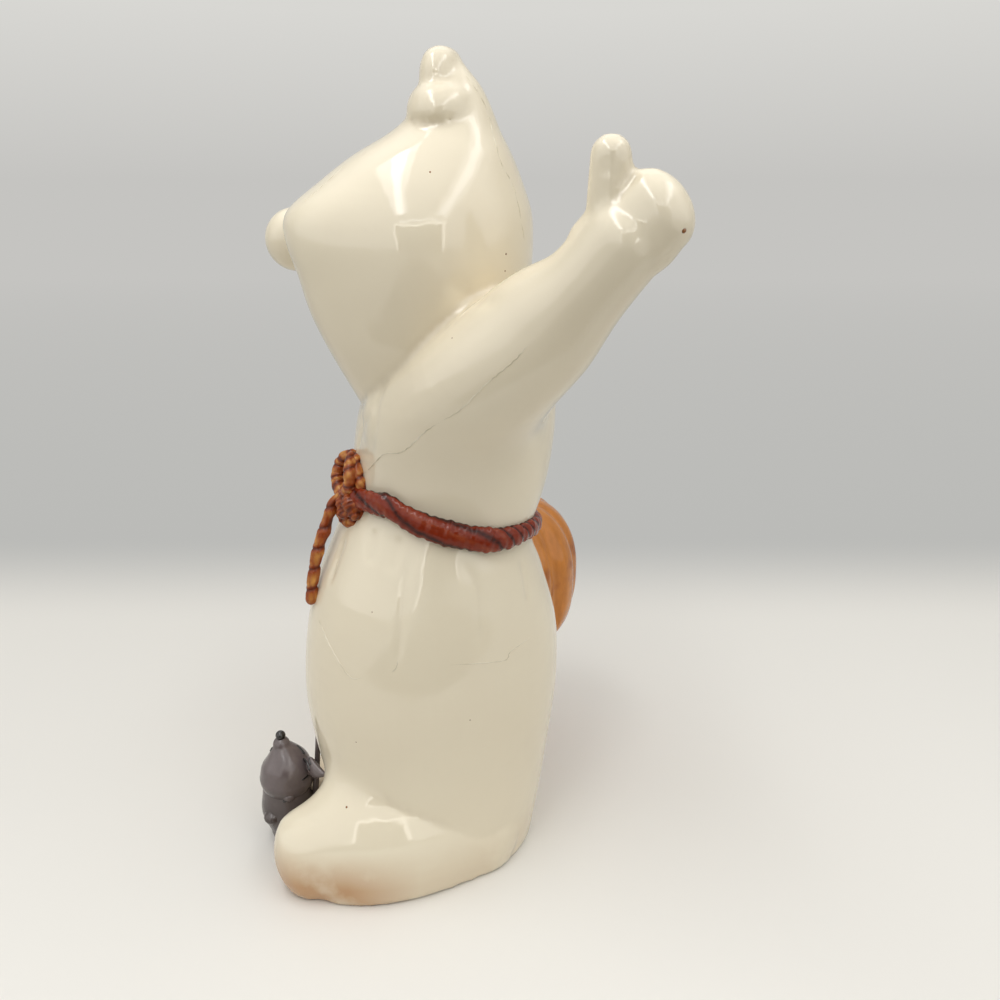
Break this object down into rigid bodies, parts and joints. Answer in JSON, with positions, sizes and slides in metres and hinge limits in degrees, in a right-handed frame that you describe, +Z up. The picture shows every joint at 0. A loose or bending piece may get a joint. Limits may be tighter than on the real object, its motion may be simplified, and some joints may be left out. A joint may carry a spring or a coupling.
{
  "type": "ceramic halloween figurine",
  "caption": "Glazed ceramic ghost in a belted hooded robe, one arm raised, a pumpkin held at the hip and a mouse at its feet; stands on its flat base.",
  "frame": {"origin": "in the underside of the base, below the middle of the robe", "axes": "+Z up, -Y to the ghost's front, +X to its left, the side of the raised arm"},
  "size_m": [0.1799, 0.1429, 0.2748],
  "materials": {
    "ivory_glaze": "gloss",
    "pumpkin_glaze": "gloss",
    "stem_glaze": "gloss",
    "belt_glaze": "gloss",
    "rope_glaze": "gloss",
    "mouse_glaze": "satin",
    "mouse_nose_glaze": "gloss"
  },
  "bodies": {
    "root": {"robe_body": "ivory_glaze", "head": "ivory_glaze", "hood_roll_lower": "ivory_glaze", "hood_roll_upper": "ivory_glaze", "nose": "ivory_glaze", "raised_arm": "ivory_glaze", "pumpkin_arm": "ivory_glaze", "left_foot": "ivory_glaze", "right_foot": "ivory_glaze", "pumpkin": "pumpkin_glaze", "pumpkin_stem": "stem_glaze", "rope_belt": "belt_glaze", "bow_knot": "rope_glaze", "bow_loop_left": "rope_glaze", "bow_loop_right": "rope_glaze", "cord_end_short": "rope_glaze", "cord_end_long": "rope_glaze", "mouse_body": "mouse_glaze", "mouse_head": "mouse_glaze", "mouse_ear_left": "mouse_glaze", "mouse_ear_right": "mouse_glaze", "mouse_nose": "mouse_nose_glaze", "mouse_tail": "mouse_glaze"}
  },
  "joints": []
}
